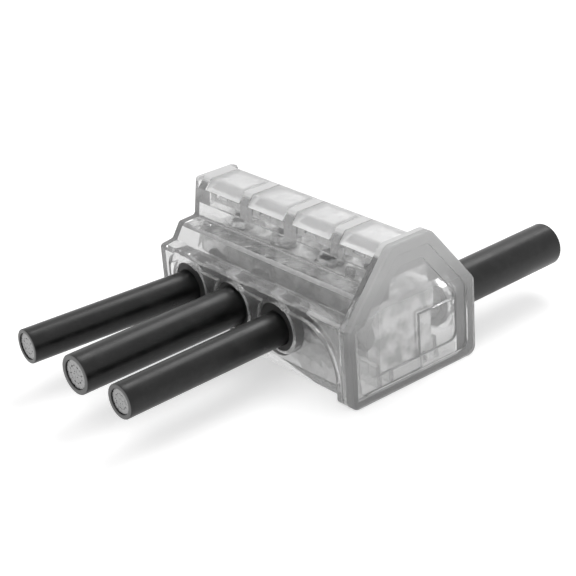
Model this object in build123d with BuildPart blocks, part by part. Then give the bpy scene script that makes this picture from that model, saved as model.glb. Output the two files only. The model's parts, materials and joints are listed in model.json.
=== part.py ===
from build123d import *
import os
from math import cos, radians, sin, sqrt, tan

# A clear insulated multi-tap connector with its cables. A drilled metal bar lies in a moulded
# clear housing. Cables enter through ports in its two sides, and a set screw over each wire
# way clamps the bare conductor. All sizes are in millimetres.
# X runs along the row of wire ways, to the end that is closed by the end cap. The three taps
# leave on the -Y side and the main cable on the +Y side. Z is up. The origin is in the middle
# of the base.

os.makedirs("parts", exist_ok=True)

# The cables: the radius of the insulation and of the conductor, the length from the middle of
# the bar to the cut end, how far off the middle of its wire way each lies, and its lean along
# the row in degrees
tap_1_jacket = 5.5
tap_1_conductor = 4.15
tap_1_reach = 82.7
tap_1_shift = 0.0
tap_1_lean = -2.8
tap_2_jacket = 6.3
tap_2_conductor = 4.6
tap_2_reach = 83.1
tap_2_shift = -0.7
tap_2_lean = 1.8
tap_3_jacket = 5.4
tap_3_conductor = 3.9
tap_3_reach = 82.5
tap_3_shift = -0.9
tap_3_lean = 2.1
main_jacket = 6.95
main_conductor = 5.35
main_reach = 73.5
main_shift = 0.0
main_lean = -1.2

# One cable for each wire way, from the far end of the row
tap_side = -1
main_side = 1
cables = [
    {
        "name": "tap_1",
        "side": tap_side,
        "jacket": tap_1_jacket,
        "conductor": tap_1_conductor,
        "reach": tap_1_reach,
        "shift": tap_1_shift,
        "lean": tap_1_lean,
    },
    {
        "name": "tap_2",
        "side": tap_side,
        "jacket": tap_2_jacket,
        "conductor": tap_2_conductor,
        "reach": tap_2_reach,
        "shift": tap_2_shift,
        "lean": tap_2_lean,
    },
    {
        "name": "tap_3",
        "side": tap_side,
        "jacket": tap_3_jacket,
        "conductor": tap_3_conductor,
        "reach": tap_3_reach,
        "shift": tap_3_shift,
        "lean": tap_3_lean,
    },
    {
        "name": "main",
        "side": main_side,
        "jacket": main_jacket,
        "conductor": main_conductor,
        "reach": main_reach,
        "shift": main_shift,
        "lean": main_lean,
    },
]
strip_length = 18.0
outer_strands = 12
strand_sides = 6
strand_share = 0.2
jacket_clearance = 0.05
bed_gap = 0.1

# The bar and its wire ways
way_pitch = 21.5
way_shift = 0.75
way_count = len(cables)
way_x = [(number - (way_count - 1) / 2) * way_pitch + way_shift for number in range(way_count)]
bore_height = 17.1
bore_radius = 6.5
bar_width = 22.0
bar_foot = 6.1
bar_above_bore = 5.7
bar_far_margin = 9.5
bar_near_margin = 8.5
bar_edge = 1.5
bar_top = bore_height + bore_radius + bar_above_bore
bar_left = way_x[0] - bar_far_margin
bar_right = way_x[-1] + bar_near_margin

# The set screws
screw_radius = 5.0
screw_length = 12.0
screw_fit = 0.08
key_across_flats = 5.56
key_depth = 6.0
tip_gap = 0.2

# The walls of the housing
wall = 2.2
seat_gap = 0.3
far_margin = 15.0
near_margin = 9.0
body_half = 24.4
recess_depth = 3.6
corner_round = 1.2
end_chamfer = 1.0
far_end = way_x[0] - far_margin
flange_back = way_x[-1] + near_margin
flange_thickness = 2.0
mouth = flange_back + flange_thickness
recess_face = body_half - recess_depth
room_half = recess_face - wall

# The cable ports
port_drop = 1.5
port_height = bore_height - port_drop
port_radius = 7.9
port_wall = 1.3
port_set_back = 0.4
collar_radius = port_radius + port_wall
collar_face = body_half - port_set_back

# The shoulder and the ridge
hood_rise = 1.4
shoulder_height = bar_top + seat_gap + wall
hood_top = port_height + collar_radius + hood_rise
step_half = 19.4
step_rise = 0.7
shoulder_half = 16.2
ridge_root_half = 9.8
ridge_root_rise = 0.4
ridge_top_half = 8.4
ridge_end = 2.6
roof_half = 5.6
channel_rise = 6.7
seat_rise = 5.4
roof_rise = 3.4
channel_top = bar_top + channel_rise
cover_seat = channel_top + seat_rise
roof_height = cover_seat + roof_rise

# The recesses that the ports stand in
recess_rise = 6.8
recess_top = port_height + recess_rise
recess_far_margin = 9.5
recess_near_margin = 5.5
recess_round = 16.0
recess_corner = 3.0

recesses = [
    {
        "side": tap_side,
        "left": way_x[0] - recess_far_margin,
        "right": way_x[-1] + recess_near_margin,
        "left_round": recess_corner,
        "right_round": recess_round,
    },
    {
        "side": main_side,
        "left": way_x[0] - recess_near_margin,
        "right": flange_back,
        "left_round": recess_round,
        "right_round": 0,
    },
]

# The screw wells and their covers
cover_length = 17.6
cover_gap = 0.2
cover_wall = 1.3
skirt_depth = 3.8
well_length = 15.6
well_width = 11.6
notch_length = 5.0
notch_height = 1.2
notch_depth = 0.9

# The rails that carry the bar
rail_thickness = 1.8
rail_offset = 7.5
lip_rise = 3.0

# The flange and the end cap, which stand a little proud of the body and the ridge
cap_overhang = 1.1
cap_rise = 1.8
cap_shoulder_drop = 0.6
cap_top_half = 8.3
cap_half = body_half + cap_overhang
cap_side_height = hood_top - cap_shoulder_drop
cap_height = roof_height + cap_rise
foot_round = 3.0
cap_round = 3.5
cap_thickness = 2.5
cap_fit = 0.25
plug_depth = 2.2
plug_wall = 1.5
rim_width = 3.5
rim_step = 0.8
panel_inset = 7.5
panel_depth = 1.6
cap_edge = 0.6

# The snap arms of the end cap and their windows
window_length = 3.0
window_sill = 0.5
window_foot = shoulder_height + window_sill
window_height = 2.9
window_margin = 14.0
arm_thickness = 1.3
arm_clearance = 0.3
hook_reach = 1.9

cap_front = mouth + cap_thickness
window_right = flange_back - window_margin + window_length


def mirrored(points):
    """A whole outline from its +Y half, which is given from the bottom up."""
    return points + [(-y, z) for y, z in reversed(points)]


def ridge_half(height):
    """Half the width of the ridge outside, at a height."""
    share = (height - shoulder_height) / (cover_seat - shoulder_height)
    return ridge_root_half + (ridge_top_half - ridge_root_half) * share


def cable_height(cable):
    """The conductor lies in its round wire way, as low as its shift and its lean let it."""
    aside = abs(cable["shift"]) + bar_width / 2 * tan(radians(abs(cable["lean"])))
    drop = bore_radius - bed_gap - cable["conductor"]
    return bore_height - sqrt(drop**2 - aside**2)


def cable_plane(x, cable):
    """The plane across a cable in the middle of the bar, with its normal along the cable."""
    lean = radians(cable["lean"])
    across = (cos(lean), -cable["side"] * sin(lean), 0)
    along = (sin(lean), cable["side"] * cos(lean), 0)
    return Plane(origin=(x + cable["shift"], 0, cable_height(cable)), x_dir=across, z_dir=along)


def port_plane(x, side, reach):
    """The plane of a port, at a distance from the middle of the bar, with its normal outwards."""
    return Plane(origin=(x, side * reach, port_height), x_dir=(1, 0, 0), z_dir=(0, side, 0))


body_points = [
    (body_half, 0),
    (body_half, hood_top),
    (step_half, hood_top + step_rise),
    (shoulder_half, shoulder_height),
    (ridge_root_half, shoulder_height + ridge_root_rise),
    (ridge_top_half, cover_seat),
    (roof_half, roof_height),
]
room_points = body_points[:4]
ridge_end_points = [(ridge_top_half, cover_seat), (ridge_half(roof_height), roof_height)]
cap_points = [(cap_half, 0), (cap_half, cap_side_height), (cap_top_half, cap_height)]
channel_points = [
    (ridge_half(bar_top) - wall, bar_top),
    (ridge_half(channel_top) - wall, channel_top),
]
roof_points = [(ridge_top_half, cover_seat), (roof_half, roof_height)]

# Housing: one clear moulding, open at the end cap's end
with BuildPart() as housing:
    with BuildSketch(Plane.YZ.offset(far_end)):
        with BuildLine():
            Polyline(*mirrored(body_points), close=True)
        make_face()
    extrude(amount=flange_back - far_end)

    # The ridge's far end stands square to the full height of the roof
    with BuildSketch(Plane.YZ.offset(far_end)):
        with BuildLine():
            Polyline(*mirrored(ridge_end_points), close=True)
        make_face()
    extrude(amount=ridge_end)
    fillet(housing.edges().filter_by(Axis.X), corner_round)
    chamfer(housing.faces().sort_by(Axis.X)[0].outer_wire().edges(), end_chamfer)

    # The flange that the end cap meets
    with BuildSketch(Plane.YZ.offset(flange_back)) as flange_outline:
        with BuildLine():
            Polyline(*mirrored(cap_points), close=True)
        make_face()
        fillet(flange_outline.vertices().group_by(Axis.Y)[0], foot_round)
        fillet(flange_outline.vertices().group_by(Axis.Y)[2:], cap_round)
    extrude(amount=flange_thickness)

    # The room for the bar
    with BuildSketch(Plane.YZ.offset(far_end + wall)):
        with BuildLine():
            Polyline(*mirrored(room_points), close=True)
        make_face()
        offset(amount=-wall, kind=Kind.INTERSECTION)
    extrude(amount=mouth - far_end - wall, mode=Mode.SUBTRACT)

    # The channel under the ridge, where the screw heads stand
    with BuildSketch(Plane.YZ.offset(far_end + wall)):
        with BuildLine():
            Polyline(*mirrored(channel_points), close=True)
        make_face()
    extrude(amount=mouth - far_end - wall, mode=Mode.SUBTRACT)

    # On each side a recess runs past the ports. Its wall is set into the room first, then it
    # is cut from outside. One of its ends sweeps down in a large round
    for recess in recesses:
        for growth in (wall, 0):
            left = max(recess["left"] - growth, far_end)
            right = min(recess["right"] + growth, mouth)
            top = recess_top + growth
            bottom = 0 if growth else -wall
            inner = recess_face - growth
            outer = body_half - corner_round if growth else body_half + wall
            with BuildSketch(Plane.XZ.offset(-recess["side"] * inner)) as recess_outline:
                with BuildLine():
                    Polyline((left, bottom), (left, top), (right, top), (right, bottom), close=True)
                make_face()
                for end, corner in ((0, recess["left_round"]), (-1, recess["right_round"])):
                    if corner:
                        top_corners = recess_outline.vertices().group_by(Axis.Y)[-1].sort_by(Axis.X)
                        fillet(top_corners[end], corner + growth)
            extrude(amount=-recess["side"] * (outer - inner), mode=Mode.ADD if growth else Mode.SUBTRACT)

    # The port collars stand out of the recessed walls
    for x, cable in zip(way_x, cables):
        with BuildSketch(port_plane(x, cable["side"], room_half)):
            Circle(collar_radius)
        extrude(amount=collar_face - room_half)
        with BuildSketch(port_plane(x, cable["side"], room_half - wall)):
            Circle(port_radius)
        extrude(amount=body_half + wall - room_half + wall, mode=Mode.SUBTRACT)

    # The screw wells, each with a seat for its cover and a notch to lift the cover by
    for x in way_x:
        with BuildSketch(Plane.XY.offset(channel_top - wall)):
            with Locations((x, 0)):
                Rectangle(well_length, well_width)
        extrude(amount=roof_height - channel_top + 2 * wall, mode=Mode.SUBTRACT)
        with BuildSketch(Plane.XY.offset(cover_seat)):
            with Locations((x, 0)):
                Rectangle(cover_length, 2 * cap_half)
        extrude(amount=roof_height, mode=Mode.SUBTRACT)
        with BuildSketch(Plane.XY.offset(cover_seat)):
            with Locations((x, notch_depth / 2 - ridge_top_half), (x, ridge_top_half - notch_depth / 2)):
                Rectangle(notch_length, notch_depth)
        extrude(amount=-notch_height, mode=Mode.SUBTRACT)

    # Rails under the bar, lips beside it, and stops at its far end
    for y in (-rail_offset, rail_offset):
        with BuildSketch(Plane.XY.offset(wall)):
            with Locations(((far_end + wall + bar_right) / 2, y)):
                Rectangle(bar_right - far_end - wall, rail_thickness)
        extrude(amount=bar_foot - wall)
        with BuildSketch(Plane.XY.offset(wall)):
            with Locations(((far_end + wall + bar_left - seat_gap) / 2, y)):
                Rectangle(bar_left - seat_gap - far_end - wall, rail_thickness)
        extrude(amount=bore_height - wall)
    lip_y = bar_width / 2 + seat_gap + rail_thickness / 2
    for y in (-lip_y, lip_y):
        with BuildSketch(Plane.XY.offset(wall)):
            with Locations(((far_end + wall + bar_right) / 2, y)):
                Rectangle(bar_right - far_end - wall, rail_thickness)
        extrude(amount=bar_foot + lip_rise - wall)

    # Windows in the ridge that the end cap's snap arms hook into
    with BuildSketch(Plane.XZ):
        with Locations((window_right - window_length / 2, window_foot + window_height / 2)):
            Rectangle(window_length, window_height)
    extrude(amount=cap_half, both=True, mode=Mode.SUBTRACT)
housing.part.label = "housing"
export_step(housing.part, "parts/housing.step")

# End cap: a clear plate with a stepped rim in front and a plug and snap arms behind
with BuildPart() as end_cap:
    with BuildSketch(Plane.YZ.offset(mouth)) as cap_outline:
        with BuildLine():
            Polyline(*mirrored(cap_points), close=True)
        make_face()
        fillet(cap_outline.vertices().group_by(Axis.Y)[0], foot_round)
        fillet(cap_outline.vertices().group_by(Axis.Y)[2:], cap_round)
    extrude(amount=cap_thickness)
    chamfer(end_cap.faces().sort_by(Axis.X)[-1].edges(), cap_edge)
    for inset, depth in ((rim_width, rim_step), (panel_inset, panel_depth)):
        with BuildSketch(Plane.YZ.offset(cap_front - depth)) as recess_outline:
            with BuildLine():
                Polyline(*mirrored(cap_points), close=True)
            make_face()
            offset(amount=-inset, kind=Kind.INTERSECTION)
            fillet(recess_outline.vertices(), foot_round)
        extrude(amount=depth + wall, mode=Mode.SUBTRACT)

    # The plug ring fits the mouth of the housing, which is narrower on the main cable's side
    with BuildSketch(Plane.YZ.offset(mouth - plug_depth)) as plug_ring:
        with BuildLine():
            Polyline(*mirrored(room_points), close=True)
        make_face()
        offset(amount=-wall - cap_fit, kind=Kind.INTERSECTION)
        with Locations((room_half - cap_fit, 0)):
            Rectangle(cap_half, cap_height, align=(Align.MIN, Align.MIN), mode=Mode.SUBTRACT)
        ring_outline = plug_ring.sketch
        offset(ring_outline, amount=-plug_wall, kind=Kind.INTERSECTION, mode=Mode.SUBTRACT)
    extrude(amount=plug_depth)

    # The snap arms
    arm_outer = ridge_half(channel_top) - wall - arm_clearance
    arm_left = window_right - window_length + arm_clearance
    for side in (-1, 1):
        with BuildSketch(Plane.XY.offset(window_foot + arm_clearance)):
            with BuildLine():
                Polyline(
                    (mouth, side * (arm_outer - arm_thickness)),
                    (arm_left, side * (arm_outer - arm_thickness)),
                    (arm_left, side * arm_outer),
                    (window_right - arm_clearance, side * (arm_outer + hook_reach)),
                    (window_right - arm_clearance, side * arm_outer),
                    (mouth, side * arm_outer),
                    close=True,
                )
            make_face()
        extrude(amount=window_height - 2 * arm_clearance)
end_cap.part.label = "end_cap"
export_step(end_cap.part, "parts/end_cap.step")

# Connector bar: drilled across for the wires and tapped from above for the screws
with BuildPart() as connector_bar:
    with BuildSketch(Plane.YZ.offset(bar_left)) as bar_section:
        with Locations((0, bar_foot)):
            Rectangle(bar_width, bar_top - bar_foot, align=(Align.CENTER, Align.MIN))
        chamfer(bar_section.vertices(), bar_edge)
    extrude(amount=bar_right - bar_left)
    with BuildSketch(Plane.XZ):
        with Locations(*[(x, bore_height) for x in way_x]):
            Circle(bore_radius)
    extrude(amount=bar_width, both=True, mode=Mode.SUBTRACT)
    with BuildSketch(Plane.XY.offset(bar_top)):
        with Locations(*[(x, 0) for x in way_x]):
            Circle(screw_radius + screw_fit)
    extrude(amount=bore_height - bar_top, mode=Mode.SUBTRACT)
connector_bar.part.label = "connector_bar"
export_step(connector_bar.part, "parts/connector_bar.step")

for number, (x, cable) in enumerate(zip(way_x, cables), start=1):
    # Set screw: turned down onto its conductor, with a socket for a hexagon key
    tip = cable_height(cable) + cable["conductor"] + tip_gap
    with BuildPart() as set_screw:
        with BuildSketch(Plane.XY.offset(tip)):
            with Locations((x, 0)):
                Circle(screw_radius)
        extrude(amount=screw_length)
        with BuildSketch(Plane.XY.offset(tip + screw_length)):
            with Locations((x, 0)):
                RegularPolygon(key_across_flats / 2, 6, major_radius=False)
        extrude(amount=-key_depth, mode=Mode.SUBTRACT)
    set_screw.part.label = f"set_screw_{number}"
    export_step(set_screw.part, f"parts/set_screw_{number}.step")

    # Screw cover: a chamfered roof with a skirt that plugs into the well
    with BuildPart() as screw_cover:
        with BuildSketch(Plane.YZ.offset(x - cover_length / 2 + cover_gap)):
            with BuildLine():
                Polyline(*mirrored(roof_points), close=True)
            make_face()
        extrude(amount=cover_length - 2 * cover_gap)
        fillet(screw_cover.edges().filter_by(Axis.X).group_by(Axis.Z)[-1], corner_round)
        with BuildSketch(Plane.XY.offset(cover_seat - skirt_depth)):
            with Locations((x, 0)):
                Rectangle(well_length - 2 * cover_gap, well_width - 2 * cover_gap)
                Rectangle(
                    well_length - 2 * cover_gap - 2 * cover_wall,
                    well_width - 2 * cover_gap - 2 * cover_wall,
                    mode=Mode.SUBTRACT,
                )
        extrude(amount=skirt_depth)
        with BuildSketch(Plane.XY.offset(cover_seat)):
            with Locations((x, 0)):
                Rectangle(
                    well_length - 2 * cover_gap - 2 * cover_wall,
                    well_width - 2 * cover_gap - 2 * cover_wall,
                )
        extrude(amount=roof_height - cover_seat - cover_wall, mode=Mode.SUBTRACT)
    screw_cover.part.label = f"screw_cover_{number}"
    export_step(screw_cover.part, f"parts/screw_cover_{number}.step")

    # Port seal: a soft clear sleeve in the port, with a lip that closes on the jacket
    seal_length = collar_face - room_half
    with BuildPart() as port_seal:
        with BuildSketch(port_plane(x, cable["side"], room_half)):
            Circle(port_radius - jacket_clearance)
        extrude(amount=seal_length - port_set_back)
        with BuildSketch(cable_plane(x, cable).offset(room_half - wall)):
            Circle(cable["jacket"] + jacket_clearance)
        extrude(amount=seal_length + 2 * wall, mode=Mode.SUBTRACT)
    port_seal.part.label = f"port_seal_{number}"
    export_step(port_seal.part, f"parts/port_seal_{number}.step")

    # Jacket: the insulation, stripped back inside the housing
    with BuildPart() as jacket:
        with BuildSketch(cable_plane(x, cable).offset(strip_length)):
            Circle(cable["jacket"])
            Circle(cable["conductor"] + jacket_clearance, mode=Mode.SUBTRACT)
        extrude(amount=cable["reach"] - strip_length)
    jacket.part.label = f"{cable['name']}_jacket"
    export_step(jacket.part, f"parts/{cable['name']}_jacket.step")

    # Conductor: a compact strand, whose outer layer shows as flat-sided ridges
    strand_radius = cable["conductor"] * strand_share
    with BuildPart() as conductor:
        with BuildSketch(cable_plane(x, cable).offset(-bar_width / 2 + wall)):
            RegularPolygon(cable["conductor"] - strand_radius, outer_strands)
            with PolarLocations(cable["conductor"] - strand_radius, outer_strands):
                RegularPolygon(strand_radius, strand_sides)
        extrude(amount=cable["reach"] + bar_width / 2 - wall)
    conductor.part.label = f"{cable['name']}_conductor"
    export_step(conductor.part, f"parts/{cable['name']}_conductor.step")
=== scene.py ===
import bpy
import bmesh
import json
import numpy as np
from math import cos, sin, pi, radians
from mathutils import Matrix, Vector


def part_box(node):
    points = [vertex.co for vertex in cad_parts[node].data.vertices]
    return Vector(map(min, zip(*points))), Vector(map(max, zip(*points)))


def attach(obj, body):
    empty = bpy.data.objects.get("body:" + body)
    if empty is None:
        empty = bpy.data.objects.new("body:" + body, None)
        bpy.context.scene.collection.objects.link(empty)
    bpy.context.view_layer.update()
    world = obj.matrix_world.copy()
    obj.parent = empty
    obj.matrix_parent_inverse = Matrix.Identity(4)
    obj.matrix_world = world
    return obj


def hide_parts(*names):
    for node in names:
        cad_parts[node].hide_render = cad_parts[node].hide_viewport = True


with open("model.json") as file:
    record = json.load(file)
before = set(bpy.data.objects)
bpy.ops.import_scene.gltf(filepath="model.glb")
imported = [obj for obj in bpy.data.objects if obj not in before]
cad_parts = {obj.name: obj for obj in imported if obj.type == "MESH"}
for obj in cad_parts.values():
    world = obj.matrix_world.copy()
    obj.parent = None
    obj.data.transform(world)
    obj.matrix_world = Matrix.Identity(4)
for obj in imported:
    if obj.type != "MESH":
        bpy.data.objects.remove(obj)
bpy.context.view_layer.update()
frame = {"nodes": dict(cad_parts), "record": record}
print("frame loaded:", len(frame["nodes"]), "nodes")

mm = 0.001
scene = bpy.context.scene
scene.view_settings.view_transform = "Standard"


# helpers for materials

def hexColour(text):
    # sRGB hex to the linear values that the shaders work in
    channels = np.array([int(text[i:i + 2], 16) for i in (1, 3, 5)]) / 255
    linear = np.where(channels <= 0.04045, channels / 12.92, ((channels + 0.055) / 1.055) ** 2.4)
    return (*[float(value) for value in linear], 1.0)


def addNode(tree, kind, settings=None, links=None):
    # one node with its settings and what feeds it; a setting that is an input goes to that socket
    node = tree.nodes.new(kind)
    for name, value in (settings or {}).items():
        if isinstance(name, int) or name in node.inputs:
            node.inputs[name].default_value = value
        else:
            setattr(node, name, value)
    for name, source in (links or {}).items():
        tree.links.new(source, node.inputs[name])
    return node


def newMaterial(name):
    material = bpy.data.materials.new(name)
    material.use_nodes = True
    material.node_tree.nodes.clear()
    return material, material.node_tree


def objectPlace(tree):
    return addNode(tree, "ShaderNodeTexCoord").outputs["Object"]


def layPlace(tree):
    # the place in a cable's or a screw's own frame, stored with its mesh
    return addNode(tree, "ShaderNodeAttribute", {"attribute_name": "lay"}).outputs["Vector"]


def stretch(tree, vector, scale, degrees=0.0):
    # a scale under 1 draws a pattern out along that axis
    settings = {"Scale": scale, "Rotation": (0, 0, radians(degrees))}
    return addNode(tree, "ShaderNodeMapping", settings, {"Vector": vector}).outputs[0]


def noise(tree, vector, size, detail, roughness=0.5):
    # cloudy pattern whose patches are about size mm wide
    settings = {"Scale": 1 / (size * mm), "Detail": detail, "Roughness": roughness}
    return addNode(tree, "ShaderNodeTexNoise", settings, {"Vector": vector}).outputs["Fac"]


def spread(tree, value, low, high, fromLow=0.0, fromHigh=1.0):
    # carries a value from one range to another and holds it at both ends
    settings = {"From Min": fromLow, "From Max": fromHigh, "To Min": low, "To Max": high}
    return addNode(tree, "ShaderNodeMapRange", settings, {"Value": value}).outputs[0]


def combine(tree, operation, first, second):
    return addNode(tree, "ShaderNodeMath", {"operation": operation}, {0: first, 1: second}).outputs[0]


def mixColours(tree, share, first, second):
    # share 0 gives the first colour and 1 the second; each is a hex colour or a socket
    mix = addNode(tree, "ShaderNodeMix", {"data_type": "RGBA"}, {0: share})
    for socket, colour in ((mix.inputs[6], first), (mix.inputs[7], second)):
        if isinstance(colour, str):
            socket.default_value = hexColour(colour)
        else:
            tree.links.new(colour, socket)
    return mix.outputs[2]


def mixShaders(tree, share, first, second):
    return addNode(tree, "ShaderNodeMixShader", {}, {0: share, 1: first, 2: second}).outputs[0]


def relief(tree, height, strength, depth):
    settings = {"Strength": strength, "Distance": depth * mm}
    return addNode(tree, "ShaderNodeBump", settings, {"Height": height}).outputs["Normal"]


def closeMaterial(tree, shader):
    addNode(tree, "ShaderNodeOutputMaterial", {}, {"Surface": shader})


def closeMetal(tree, colour, rough, normal):
    metal = addNode(tree, "ShaderNodeBsdfPrincipled", {"Metallic": 1.0}, {
        "Base Color": colour, "Roughness": rough, "Normal": normal})
    closeMaterial(tree, metal.outputs[0])


# helpers for meshes

softening = {
    "mergeWithin": 0.002,  # mm between points that are one
    "flatWithin": 0.5,  # degrees between faces that are one
    "segments": 2,  # across each rounded edge
}


def dressPiece(piece, material, body, node):
    # what every piece has: a material, the body it rides on and the node it stands for, which it
    # hides
    scene.collection.objects.link(piece)
    piece.data.materials.clear()
    piece.data.materials.append(material)
    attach(piece, body)
    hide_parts(node)


def meshPiece(name, points, faces, lay, sharpFrom):
    # points and their lay in metres; edges that turn by sharpFrom degrees or more stay crisp
    mesh = bpy.data.meshes.new(name)
    mesh.from_pydata(points.tolist(), [], faces)
    mesh.polygons.foreach_set("use_smooth", np.ones(len(mesh.polygons), bool))
    mesh.attributes.new("lay", "FLOAT_VECTOR", "POINT").data.foreach_set("vector", lay.ravel())
    mesh.update()
    work = bmesh.new()
    work.from_mesh(mesh)
    for edge in work.edges:
        edge.smooth = edge.calc_face_angle(pi) < radians(sharpFrom)
    work.to_mesh(mesh)
    work.free()
    return bpy.data.objects.new(name, mesh)


def softenedCopy(node, name, radius, sharpFrom):
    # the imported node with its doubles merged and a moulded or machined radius, in mm, on the
    # edges that turn by sharpFrom degrees or more
    mesh = frame["nodes"][node].data.copy()
    mesh.name = name
    work = bmesh.new()
    work.from_mesh(mesh)
    bmesh.ops.remove_doubles(work, verts=work.verts, dist=softening["mergeWithin"] * mm)
    bmesh.ops.dissolve_limit(
        work, angle_limit=radians(softening["flatWithin"]),
        verts=work.verts, edges=work.edges, delimit=set())
    for face in work.faces:
        face.smooth = True
    work.to_mesh(mesh)
    work.free()
    piece = bpy.data.objects.new(name, mesh)
    edges = piece.modifiers.new("moulded radius", "BEVEL")
    edges.width = radius * mm
    edges.segments = softening["segments"]
    edges.limit_method = "ANGLE"
    edges.angle_limit = radians(sharpFrom)
    normals = piece.modifiers.new("flat faces stay flat", "WEIGHTED_NORMAL")
    normals.keep_sharp = True
    return piece


def ringFaces(rows, columns, wrapRows=False, start=0):
    # quads between neighbouring rows; each row closes on itself
    row = np.arange(rows if wrapRows else rows - 1)[:, None]
    column = np.arange(columns)[None, :]
    nextRow = (row + 1) % rows
    nextColumn = (column + 1) % columns
    quads = np.stack([row * columns + column, row * columns + nextColumn,
                      nextRow * columns + nextColumn, nextRow * columns + column], -1)
    return (quads.reshape(-1, 4) + start).tolist()


def fanFaces(ring, pole, columns, outward):
    # a fan of triangles from a ring to its pole
    column = np.arange(columns)
    nextColumn = (column + 1) % columns
    order = [ring + column, ring + nextColumn] if outward else [ring + nextColumn, ring + column]
    return np.stack([*order, np.full(columns, pole)], -1).tolist()


# camera, at the photograph's viewing angle

cameraPlan = {
    "place": (335.17, -273.14, 220.60),  # mm
    "azimuth": 51.785,  # degrees, as the two below
    "elevation": 25.23,
    "roll": -4.32,
    "lens": 95.21,  # mm, on a sensor of the width below
    "sensor": 36.0,
    "clip": (0.01, 20),  # m
}


def makeCamera(plan):
    a, e, r = (radians(plan[key]) for key in ("azimuth", "elevation", "roll"))
    back = Vector((sin(a) * cos(e), -cos(a) * cos(e), sin(e)))
    right = Vector((cos(a), sin(a), 0))
    up = right.cross(-back)
    rolledRight = right * cos(r) + up * sin(r)
    rolledUp = up * cos(r) - right * sin(r)
    data = bpy.data.cameras.new("camera")
    data.sensor_width = plan["sensor"]
    data.lens = plan["lens"]
    data.clip_start, data.clip_end = plan["clip"]
    camera = bpy.data.objects.new("camera", data)
    scene.collection.objects.link(camera)
    turn = Matrix((rolledRight, rolledUp, back)).transposed().to_4x4()
    camera.matrix_world = Matrix.Translation(Vector(plan["place"]) * mm) @ turn
    scene.camera = camera


makeCamera(cameraPlan)
print("camera set")

# floor and light

studio = {
    "floorHalf": 3.0,  # m from the middle to each side
    "floorColour": "#f4f4f4",
    "floorGlow": 0.42,  # lifts the paper to the white of the photograph
    "toothSize": 1.1111,  # mm, of the paper's fibres
    "toothDepth": 0.2,  # mm
    "toothStrength": 0.03,
    "skyColour": "#f4f4f4",
    "skyLevel": 0.66,
    "lamps": [  # places and sizes in m, powers in W
        {"name": "overheadSoftbox", "place": (-0.25, 0.62, 0.95), "size": 0.55, "power": 4.2},
        {"name": "frontSoftbox", "place": (0.55, -0.95, 0.75), "size": 1.2, "power": 3.0},
    ],
}


def seenRay(tree):
    # 1 for the lens and for what gloss and clear plastic show of the surroundings, else 0
    path = addNode(tree, "ShaderNodeLightPath").outputs
    direct = combine(tree, "MAXIMUM", path["Is Camera Ray"], path["Is Glossy Ray"])
    return combine(tree, "MAXIMUM", direct, path["Is Transmission Ray"])


def makeFloor(plan):
    # a rolled paper sweep: a faint fibre tooth, and the plain white that the lens and gloss see
    material, tree = newMaterial("matt white studio paper")
    tooth = noise(tree, objectPlace(tree), plan["toothSize"], 2.0)
    normal = relief(tree, tooth, plan["toothStrength"], plan["toothDepth"])
    paper = addNode(tree, "ShaderNodeBsdfDiffuse", {"Color": hexColour(plan["floorColour"])},
                    {"Normal": normal})
    level = addNode(tree, "ShaderNodeMath", {"operation": "MULTIPLY", 1: plan["floorGlow"]},
                    {0: seenRay(tree)})
    glow = addNode(tree, "ShaderNodeEmission", {}, {"Strength": level.outputs[0]})
    both = addNode(tree, "ShaderNodeAddShader", {}, {0: paper.outputs[0], 1: glow.outputs[0]})
    closeMaterial(tree, both.outputs[0])
    half = plan["floorHalf"]
    corners = [(-half, -half, 0), (half, -half, 0), (half, half, 0), (-half, half, 0)]
    mesh = bpy.data.meshes.new("studioFloor")
    mesh.from_pydata(corners, [], [(0, 1, 2, 3)])
    mesh.materials.append(material)
    floor = bpy.data.objects.new("studioFloor", mesh)
    scene.collection.objects.link(floor)


def makeWorld(plan):
    # the lens, gloss and clear plastic see plain white; the piece is lit by the dimmer sky
    world = bpy.data.worlds.new("studio light")
    world.use_nodes = True
    tree = world.node_tree
    tree.nodes.clear()
    sky = addNode(tree, "ShaderNodeBackground", {
        "Color": hexColour(plan["skyColour"]), "Strength": plan["skyLevel"]})
    white = addNode(tree, "ShaderNodeBackground", {"Color": (1, 1, 1, 1), "Strength": 1.0})
    mix = mixShaders(tree, seenRay(tree), sky.outputs[0], white.outputs[0])
    addNode(tree, "ShaderNodeOutputWorld", {}, {"Surface": mix})
    scene.world = world


def makeLamp(lamp):
    data = bpy.data.lights.new(lamp["name"], "AREA")
    data.shape = "SQUARE"
    data.size = lamp["size"]
    data.energy = lamp["power"]
    light = bpy.data.objects.new(lamp["name"], data)
    scene.collection.objects.link(light)
    light.location = lamp["place"]
    light.rotation_mode = "QUATERNION"
    light.rotation_quaternion = (-Vector(lamp["place"])).to_track_quat("-Z", "Y")


makeFloor(studio)
makeWorld(studio)
for lamp in studio["lamps"]:
    makeLamp(lamp)
print("floor and light set")

# materials; sizes, spacings, heights and depths are in mm

# injection-moulded clear polycarbonate: glossy, slightly grey, with flow waves that bend what is
# behind it and a faint haze from handling
clearHousing = {
    "colour": "#eeeeee",
    # painted edge shade: the colour the plastic darkens to at its edges and along walls seen edge-on
    "paintedEdgeShade": "#5c5c5c",
    "edgeRange": (0.5, 0.9),  # slant at which the painted edge shade starts and is full
    "ior": 1.58,
    "transmission": 0.93,
    "roughness": (0.06, 0.15),
    "smearSize": 9.0,  # between glossier and duller patches
    "smearRange": (0.35, 0.7),
    "waveSize": 5.0,
    "waveHeight": 0.3,
    "scuffSize": 0.5,
    "scuffShare": 0.004,  # height of the scuffs against the waves
    "shade": "#f0f0f0",  # what a lamp keeps of its light through one wall
    "mirrors": 1,  # how often light is mirrored inside before it ends in the haze
    "haze": "#eeeeee",
    "mattHeight": 43.2,  # from here up the ridge turns as matt and pale as the covers on it
    "mattRise": 0.8,  # over which it does
    "mattShare": 0.8,
}
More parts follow.
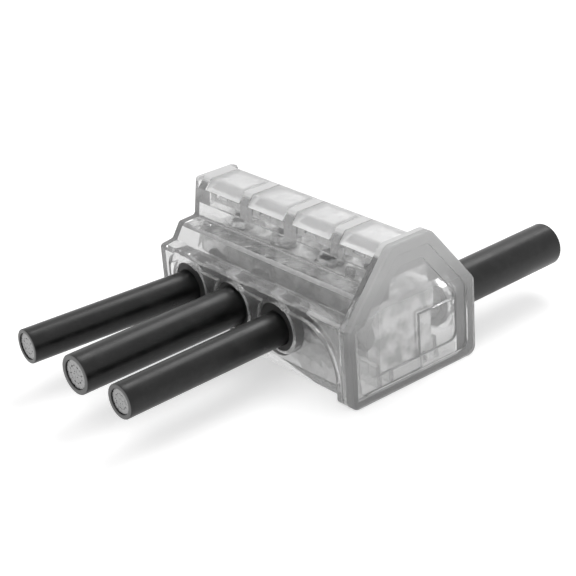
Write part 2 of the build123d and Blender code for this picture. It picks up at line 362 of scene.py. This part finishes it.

# the end cap is moulded thicker and shows more haze; that haze rises towards its top, a painted light
# that makes the cap paler where light falls from above, and its edges take a darker painted edge
# shade
hazyCap = clearHousing | {
    "colour": "#fafafa", "paintedEdgeShade": "#303030", "transmission": 0.84,
    # the haze rising from here to the top is painted light from above
    "mattHeight": 22.0, "mattRise": 16.0, "mattShare": 0.4}

# the covers come from a sand-blasted mould: the same plastic with a matt, paler skin all over
mattCover = clearHousing | {
    "colour": "#f8f8f8", "paintedEdgeShade": "#d0d0d0", "transmission": 0.64,
    "roughness": (0.3, 0.45), "mattShare": 0.0}


def makeClearPolycarbonate(name, look):
    material, tree = newMaterial(name)
    place = objectPlace(tree)
    smear = noise(tree, place, look["smearSize"], 4.0, 0.6)
    rough = spread(tree, smear, *look["roughness"], *look["smearRange"])
    wave = noise(tree, place, look["waveSize"], 1.0)
    scuff = noise(tree, place, look["scuffSize"], 2.0)
    height = addNode(tree, "ShaderNodeMath", {"operation": "MULTIPLY_ADD", 1: look["scuffShare"]},
                     {0: scuff, 2: wave})
    normal = relief(tree, height.outputs[0], 1.0, look["waveHeight"])
    # seen along a wall or round an edge the plastic turns darker: partly light passing through more
    # plastic, partly a painted shade for the dark lines that refraction draws at the rounded edges
    slant = addNode(tree, "ShaderNodeLayerWeight", {"Blend": 0.5}, {"Normal": normal})
    edge = spread(tree, slant.outputs["Facing"], 0.0, 1.0, *look["edgeRange"])
    plastic = addNode(tree, "ShaderNodeBsdfPrincipled", {
        "IOR": look["ior"],
        "Transmission Weight": look["transmission"],
    }, {
        "Base Color": mixColours(tree, edge, look["colour"], look["paintedEdgeShade"]),
        "Roughness": rough,
        "Normal": normal,
    })
    # light that runs on inside a wall from mirror to mirror ends as the haze of the plastic
    # instead of turning black, and a matt part shows this haze from outside too
    path = addNode(tree, "ShaderNodeLightPath").outputs
    trapped = addNode(tree, "ShaderNodeMath", {"operation": "GREATER_THAN", 1: look["mirrors"] + 0.5},
                      {0: path["Glossy Depth"]})
    level = addNode(tree, "ShaderNodeSeparateXYZ", {}, {0: place}).outputs["Z"]
    top = look["mattHeight"] + look["mattRise"]
    matt = spread(tree, level, 0.0, look["mattShare"], look["mattHeight"] * mm, top * mm)
    inside = addNode(tree, "ShaderNodeBsdfDiffuse", {"Color": hexColour(look["haze"])})
    hazy = combine(tree, "MAXIMUM", trapped.outputs[0], matt)
    body = mixShaders(tree, hazy, plastic.outputs[0], inside.outputs[0])
    # lamps reach what is inside, a little dimmed by each wall
    passing = addNode(tree, "ShaderNodeBsdfTransparent", {"Color": hexColour(look["shade"])})
    closeMaterial(tree, mixShaders(tree, path["Is Shadow Ray"], body, passing.outputs[0]))
    return material


# moulded silicone rubber: soft and translucent, with a dull skin; its dark grey is partly its own
# colour and partly a painted shade for the dark ring round each cable in its port
softSeal = {
    # dark grey, partly a painted shade round the cables
    "colour": "#343434",
    "ior": 1.41,
    "transmission": 0.35,
    "roughness": (0.42, 0.6),
    "grainSize": 0.6,
    "grainDepth": 0.02,
    "grainStrength": 0.4,
}


def makeSiliconeRubber(name, look):
    material, tree = newMaterial(name)
    grain = noise(tree, objectPlace(tree), look["grainSize"], 3.0)
    rubber = addNode(tree, "ShaderNodeBsdfPrincipled", {
        "Base Color": hexColour(look["colour"]),
        "IOR": look["ior"],
        "Transmission Weight": look["transmission"],
    }, {
        "Roughness": spread(tree, grain, *look["roughness"]),
        "Normal": relief(tree, grain, look["grainStrength"], look["grainDepth"]),
    })
    closeMaterial(tree, rubber.outputs[0])
    return material


# sawn and drilled aluminium bar, tin plated: a pale dull metal with fine drawing lines along X
barMetal = {
    "pale": "#f2f2f2",
    "dark": "#9c9c9c",
    "stainSize": 6.0,
    "stainRange": (0.38, 0.6),
    "roughness": (0.3, 0.55),
    "lineSpacing": 0.25,
    "lineLength": 10.0,
    "lineDepth": 0.01,
    "lineStrength": 0.5,
}


def makePlatedBar(name, look):
    material, tree = newMaterial(name)
    place = objectPlace(tree)
    along = stretch(tree, place, (look["lineSpacing"] / look["lineLength"], 1, 1))
    lines = noise(tree, along, look["lineSpacing"], 2.0)
    stain = noise(tree, place, look["stainSize"], 3.0)
    blotch = spread(tree, stain, 0.0, 1.0, *look["stainRange"])
    closeMetal(tree, mixColours(tree, blotch, look["dark"], look["pale"]),
               spread(tree, lines, *look["roughness"]),
               relief(tree, lines, look["lineStrength"], look["lineDepth"]))
    return material


# turned and zinc-plated steel: brighter than the bar, with rings from the turning tool
screwMetal = {
    "pale": "#fafafa",
    "dark": "#b4b4b4",
    "stainSize": 3.0,
    "stainRange": (0.38, 0.6),
    "roughness": (0.14, 0.32),
    "ringSpacing": 0.18,
    "ringDepth": 0.01,
    "ringStrength": 0.4,
}


def makeTurnedSteel(name, look):
    material, tree = newMaterial(name)
    # a screw's lay: first its distance from the axis, second its height
    rings = noise(tree, layPlace(tree), look["ringSpacing"], 2.0)
    stain = noise(tree, objectPlace(tree), look["stainSize"], 3.0)
    blotch = spread(tree, stain, 0.0, 1.0, *look["stainRange"])
    closeMetal(tree, mixColours(tree, blotch, look["dark"], look["pale"]),
               spread(tree, rings, *look["roughness"]),
               relief(tree, rings, look["ringStrength"], look["ringDepth"]))
    return material


# extruded polyethylene: black and satin, with long die lines and dusty scuffs
cableJacket = {
    "black": "#0e0e0e",
    "dust": "#2e2e2e",
    "dustRange": (0.45, 0.8),
    "dustShare": 0.55,
    "patchSize": 6.0,
    "cutGrey": "#5e5e5e",
    "cutRange": (-0.2, -0.02),  # along the cable from its cut end, where the grey starts and is full
    "ior": 1.5,
    "specular": 0.35,
    "roughness": (0.26, 0.42),
    "roughRange": (0.3, 0.7),
    "lineSpacing": 0.35,
    "lineLength": 25.0,
    "lineDepth": 0.02,
    "lineStrength": 0.6,
}


def makeExtrudedJacket(name, look):
    material, tree = newMaterial(name)
    # a cable's lay: its own frame, the third axis along the cable and 0 at the cut end
    lay = layPlace(tree)
    along = stretch(tree, lay, (1, 1, look["lineSpacing"] / look["lineLength"]))
    lines = noise(tree, along, look["lineSpacing"], 2.0)
    patches = noise(tree, lay, look["patchSize"], 5.0, 0.65)
    dusty = spread(tree, patches, 0.0, look["dustShare"], *look["dustRange"])
    side = mixColours(tree, dusty, look["black"], look["dust"])
    # the blade leaves the cut ring grey and torn, so the last tenths of a millimetre turn pale
    level = addNode(tree, "ShaderNodeSeparateXYZ", {}, {0: lay}).outputs["Z"]
    cutStart, cutFull = look["cutRange"]
    cut = spread(tree, level, 0.0, 1.0, cutStart * mm, cutFull * mm)
    rubber = addNode(tree, "ShaderNodeBsdfPrincipled", {
        "IOR": look["ior"],
        "Specular IOR Level": look["specular"],
    }, {
        "Base Color": mixColours(tree, cut, side, look["cutGrey"]),
        "Roughness": spread(tree, patches, *look["roughness"], *look["roughRange"]),
        "Normal": relief(tree, lines, look["lineStrength"], look["lineDepth"]),
    })
    closeMaterial(tree, rubber.outputs[0])
    return material


# drawn aluminium wires, sawn off: bright along the wire, with saw marks across the cut faces
strandMetal = {
    "pale": "#b4b4b4",
    "dark": "#8c8c8c",
    "roughness": (0.42, 0.6),
    "drawnSpacing": 0.12,
    "drawnLength": 6.0,
    "sawSpacing": 0.3,
    "sawLength": 5.0,
    "sawAngle": 12.0,  # degrees
    "markDepth": 0.02,
    "markStrength": 0.6,
}


def makeDrawnStrand(name, look):
    material, tree = newMaterial(name)
    lay = layPlace(tree)
    along = stretch(tree, lay, (1, 1, look["drawnSpacing"] / look["drawnLength"]))
    drawn = noise(tree, along, look["drawnSpacing"], 1.0)
    across = stretch(tree, lay, (look["sawSpacing"] / look["sawLength"], 1, 1), look["sawAngle"])
    marks = noise(tree, across, look["sawSpacing"], 2.0)
    both = combine(tree, "MULTIPLY", drawn, marks)
    closeMetal(tree, mixColours(tree, marks, look["dark"], look["pale"]),
               spread(tree, marks, *look["roughness"]),
               relief(tree, both, look["markStrength"], look["markDepth"]))
    return material


materials = {
    "clear_housing": makeClearPolycarbonate("injection-moulded clear polycarbonate", clearHousing),
    "hazy_cap": makeClearPolycarbonate("thick-moulded clear polycarbonate", hazyCap),
    "matt_cover": makeClearPolycarbonate("matt-moulded clear polycarbonate", mattCover),
    "soft_seal": makeSiliconeRubber("moulded dark grey silicone rubber with painted port shade", softSeal),
    "bar_metal": makePlatedBar("drilled tin-plated aluminium", barMetal),
    "screw_metal": makeTurnedSteel("turned zinc-plated steel", screwMetal),
    "cable_jacket": makeExtrudedJacket("extruded black polyethylene", cableJacket),
    "strand_metal": makeDrawnStrand("drawn and sawn aluminium wire", strandMetal),
}
print("materials made:", len(materials))

# housing, end cap, screw covers, bar and port seals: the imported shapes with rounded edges. The
# radius is in mm, and edges that turn by sharpFrom degrees or more get it

softened = {
    "housing": {
        "piece": "clearHousingShell", "body": "connector", "slot": "clear_housing",
        "finish": "clear_housing", "radius": 0.3, "sharpFrom": 28},
    "end_cap": {
        "piece": "clearEndCap", "body": "connector", "slot": "clear_housing",
        "finish": "hazy_cap", "radius": 0.3, "sharpFrom": 28},
}
for number in range(1, 5):
    softened[f"screw_cover_{number}"] = {
        "piece": f"clearScrewCover_{number}", "body": f"cover_{number}", "slot": "clear_housing",
        "finish": "matt_cover", "radius": 0.25, "sharpFrom": 28}
softened["connector_bar"] = {
    "piece": "drilledBar", "body": "connector", "slot": "bar_metal",
    "finish": "bar_metal", "radius": 0.45, "sharpFrom": 40}
for number in range(1, 5):
    softened[f"port_seal_{number}"] = {
        "piece": f"portSeal_{number}", "body": "connector", "slot": "soft_seal",
        "finish": "soft_seal", "radius": 0.25, "sharpFrom": 40}
for node, plan in softened.items():
    piece = softenedCopy(node, plan["piece"], plan["radius"], plan["sharpFrom"])
    dressPiece(piece, materials[plan["finish"]], plan["body"], node)
print("housing, cap, covers, bar and seals made:", len(softened))

# cables: each runs along its own line from the middle of the bar; lengths in mm

cableNames = ("tap_1", "tap_2", "tap_3", "main")
jacketPlan = {
    "strip": 18.0,  # where the stripped conductor starts
    "gap": 0.05,  # between the jacket and its strand
    "lip": 0.3,  # radius of the cut edge
    "lipRows": 6,
    "around": 96,
    "along": 60,
    "sharpFrom": 45,  # degrees
}
strandPlan = {
    "inner": -8.8,  # where the strand ends inside the bar
    "sunk": 0.5,  # that its cut end lies inside the jacket's
    "layLength": 11.0,  # one turn of the outer wires, in conductor diameters
    "rings": [(1, 0.0, 0.2), (6, 0.2, 0.6), (12, 0.6, 1.0)],  # wires, inner and outer radius share
    "squeeze": 0.45,  # 1 leaves the wires round, 0 presses them into full sectors
    "gap": 0.006,  # between neighbouring wires, as a share of the conductor's radius
    "dome": 0.06,  # that the middle of each cut wire stands out
    "domeWidths": (0.62, 0.05),  # of a cut wire's last rows, as shares of its section
    "domeHeights": (0.6, 1.0),  # of the same rows, as shares of the dome
    "around": 24,
    "along": 70,
    "sharpFrom": 45,  # degrees
}


def readCable(name):
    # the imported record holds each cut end's place and direction, and the nodes' boxes its two radii
    mount = next(m for m in frame["record"]["mounts"] if m["name"] == f"{name}_cut_end")
    end, along = np.array(mount["pos_m"]) / mm, np.array(mount["axis"])
    along = along / np.linalg.norm(along)
    reach = abs(end[1] / along[1])
    jacketLow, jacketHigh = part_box(f"{name}_jacket")
    strandLow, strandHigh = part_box(f"{name}_conductor")
    return {
        "start": end - along * reach,
        "along": along,
        "reach": reach,
        "jacket": (jacketHigh.z - jacketLow.z) / 2 / mm,
        "conductor": (strandHigh.z - strandLow.z) / 2 / mm,
    }


def toRow(local, cable):
    # the cable's own frame: across and level, upwards, along the cable
    up = np.array([0, 0, 1.0])
    turn = np.stack([np.cross(up, cable["along"]), up, cable["along"]], 1)
    return (local @ turn.T + cable["start"]) * mm


def jacketSurface(cable, plan):
    # a tube: a closed profile of (radius, distance along) is carried round the cable's axis,
    # with a small round on both edges of its cut end
    outer, inner = cable["jacket"], cable["conductor"] + plan["gap"]
    start, end, lip = plan["strip"], cable["reach"], plan["lip"]
    t = np.linspace(0, 1, plan["along"])
    quarter = np.linspace(0, pi / 2, plan["lipRows"])
    radius = np.concatenate([
        np.full_like(t, outer), outer - lip + lip * np.cos(quarter[1:]),
        inner + lip * (1 - np.sin(quarter)), np.full_like(t[1:], inner)])
    along = np.concatenate([
        start + t * (end - lip - start), end - lip + lip * np.sin(quarter[1:]),
        end - lip + lip * np.cos(quarter), end - lip - t[1:] * (end - lip - start)])
    angle = np.arange(plan["around"]) * 2 * pi / plan["around"]
    local = np.stack([radius[:, None] * np.cos(angle), radius[:, None] * np.sin(angle),
                      np.broadcast_to(along[:, None], (len(along), len(angle)))], -1)
    return local.reshape(-1, 3), ringFaces(len(radius), plan["around"], wrapRows=True)


def strandSurface(cable, plan):
    # a compacted strand: each wire's section is a circle whose two coordinates are raised to a
    # low power, which makes it a rounded square, and is then laid out as radius and angle, which
    # makes it a rounded sector. The section turns as it goes along: angle = distance / lay length,
    # every other ring the other way. The middle wire stays round
    size, gap = cable["conductor"], plan["gap"]
    t = np.linspace(0, 1, plan["along"])
    along = plan["inner"] + t * (cable["reach"] - plan["sunk"] - plan["inner"])
    around = np.arange(plan["around"]) * 2 * pi / plan["around"]
    widths, heights = np.array(plan["domeWidths"]), plan["dome"] * np.array(plan["domeHeights"])
    share = np.concatenate([widths[::-1], np.ones(len(t)), widths])[:, None]
    level = np.concatenate([along[0] - heights[::-1], along, along[-1] + heights])[:, None]
    held = np.clip(level, along[0], along[-1])
    points, faces, start = [], [], 0
    for ring, (count, low, high) in enumerate(plan["rings"]):
        turn = (-1) ** ring * held / (plan["layLength"] * 2 * size) * 2 * pi
        across = np.sign(np.cos(around)) * np.abs(np.cos(around)) ** plan["squeeze"]
        aside = np.sign(np.sin(around)) * np.abs(np.sin(around)) ** plan["squeeze"]
        middle, half = (low + high) / 2, (high - low - gap) / 2
        for wire in range(count):
            if count == 1:
                radius = share * (high - gap / 2) * size
                angle = around[None, :]
            else:
                radius = (middle + share * half * across) * size
                angle = ((wire + 0.5 * ring) * 2 * pi / count + turn
                         + share * aside * (pi / count - gap / 2 / middle))
            x, y = radius * np.cos(angle), radius * np.sin(angle)
            tube = np.stack([x, y, np.broadcast_to(level, x.shape)], -1)
            rows, columns = x.shape
            points += [tube.reshape(-1, 3), tube[[0, -1]].mean(1)]
            faces += ringFaces(rows, columns, start=start)
            faces += fanFaces(start, start + rows * columns, columns, False)
            faces += fanFaces(start + (rows - 1) * columns, start + rows * columns + 1, columns, True)
            start += rows * columns + 2
    return np.concatenate(points), faces


cableParts = (
    {"piece": "Jacket", "node": "jacket", "slot": "cable_jacket",
     "surface": jacketSurface, "plan": jacketPlan},
    {"piece": "Strand", "node": "conductor", "slot": "strand_metal",
     "surface": strandSurface, "plan": strandPlan},
)
for name in cableNames:
    cable = readCable(name)
    for part in cableParts:
        local, faces = part["surface"](cable, part["plan"])
        lay = (local - [0, 0, cable["reach"]]) * mm
        piece = meshPiece(f"{name}{part['piece']}", toRow(local, cable), faces, lay,
                          part["plan"]["sharpFrom"])
        dressPiece(piece, materials[part["slot"]], "connector",
                   f"{name}_{part['node']}")
print("cables made:", len(cableNames))

# set screws: threaded, with a hexagon socket; lengths in mm

screwPlan = {
    "count": 4,
    "radius": 5.0,
    "length": 12.0,
    "pitch": 1.5,
    "threadDepth": 0.75,
    "flankSlope": 1.25,  # over 1 it leaves flat crests
    "rootShare": 0.1,  # and this leaves flat roots
    "chamfer": 0.8,
    "rim": 0.5,  # width of the flat ring inside the chamfer
    "acrossFlats": 5.56,
    "socketDepth": 6.0,
    "socketLip": 0.35,
    "coneHeight": 0.6,  # of the drill's cone at the socket's bottom
    "coneShare": 0.95,  # of the socket's width halfway down that cone
    "around": 96,
    "rowsPerTurn": 10,
    "sharpFrom": 35,  # degrees
}


def screwSurface(plan):
    # side: radius = crest - depth * triangle wave of (height / pitch - angle / full turn), held
    # inside a chamfer at both ends. The top ring then narrows to a hexagon, goes down and closes
    # on a cone
    angle = np.arange(plan["around"]) * 2 * pi / plan["around"]
    rows = int(plan["length"] / plan["pitch"] * plan["rowsPerTurn"]) + 1
    height = np.linspace(0, plan["length"], rows)[:, None]
    phase = (height / plan["pitch"] - angle[None, :] / (2 * pi)) % 1
    wave = np.clip(plan["flankSlope"] * (1 - np.abs(2 * phase - 1)) - plan["rootShare"], 0, 1)
    thread = plan["radius"] - plan["threadDepth"] * (1 - wave)
    fromEnd = np.minimum(height, plan["length"] - height)
    envelope = plan["radius"] - np.clip(plan["chamfer"] - fromEnd, 0, None)
    side = np.minimum(thread, envelope)
    sector = (angle + pi / 6) % (pi / 3) - pi / 6
    hexagon = plan["acrossFlats"] / 2 / np.cos(sector)
    lip, top = plan["socketLip"], plan["length"]
    bottom, cone = top - plan["socketDepth"], plan["coneHeight"]
    socket = [
        (np.full_like(angle, plan["radius"] - plan["chamfer"] - plan["rim"]), top),
        (hexagon + lip, top),
        (hexagon, top - lip),
        (hexagon, (top + bottom) / 2),
        (hexagon, bottom + cone),
        (hexagon * plan["coneShare"], bottom + cone / 2),
    ]
    radius = np.concatenate([side, np.stack([row for row, _ in socket])])
    level = np.concatenate([np.broadcast_to(height, side.shape),
                            np.stack([np.full_like(angle, z) for _, z in socket])])
    tube = np.stack([radius * np.cos(angle), radius * np.sin(angle), level], -1)
    columns, count = plan["around"], len(radius)
    local = np.concatenate([tube.reshape(-1, 3), [[0, 0, 0], [0, 0, bottom]]])
    faces = ringFaces(count, columns)
    faces += fanFaces(0, count * columns, columns, False)
    faces += fanFaces((count - 1) * columns, count * columns + 1, columns, True)
    lay = np.stack([np.hypot(local[:, 0], local[:, 1]), local[:, 2], 0 * local[:, 2]], -1)
    return local, faces, lay


for number in range(1, screwPlan["count"] + 1):
    low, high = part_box(f"set_screw_{number}")
    local, faces, lay = screwSurface(screwPlan)
    foot = np.array([(low.x + high.x) / 2, (low.y + high.y) / 2, low.z])
    piece = meshPiece(f"setScrew_{number}", local * mm + foot, faces, lay * mm,
                      screwPlan["sharpFrom"])
    dressPiece(piece, materials["screw_metal"], f"screw_{number}",
               f"set_screw_{number}")
print("set screws made:", screwPlan["count"])
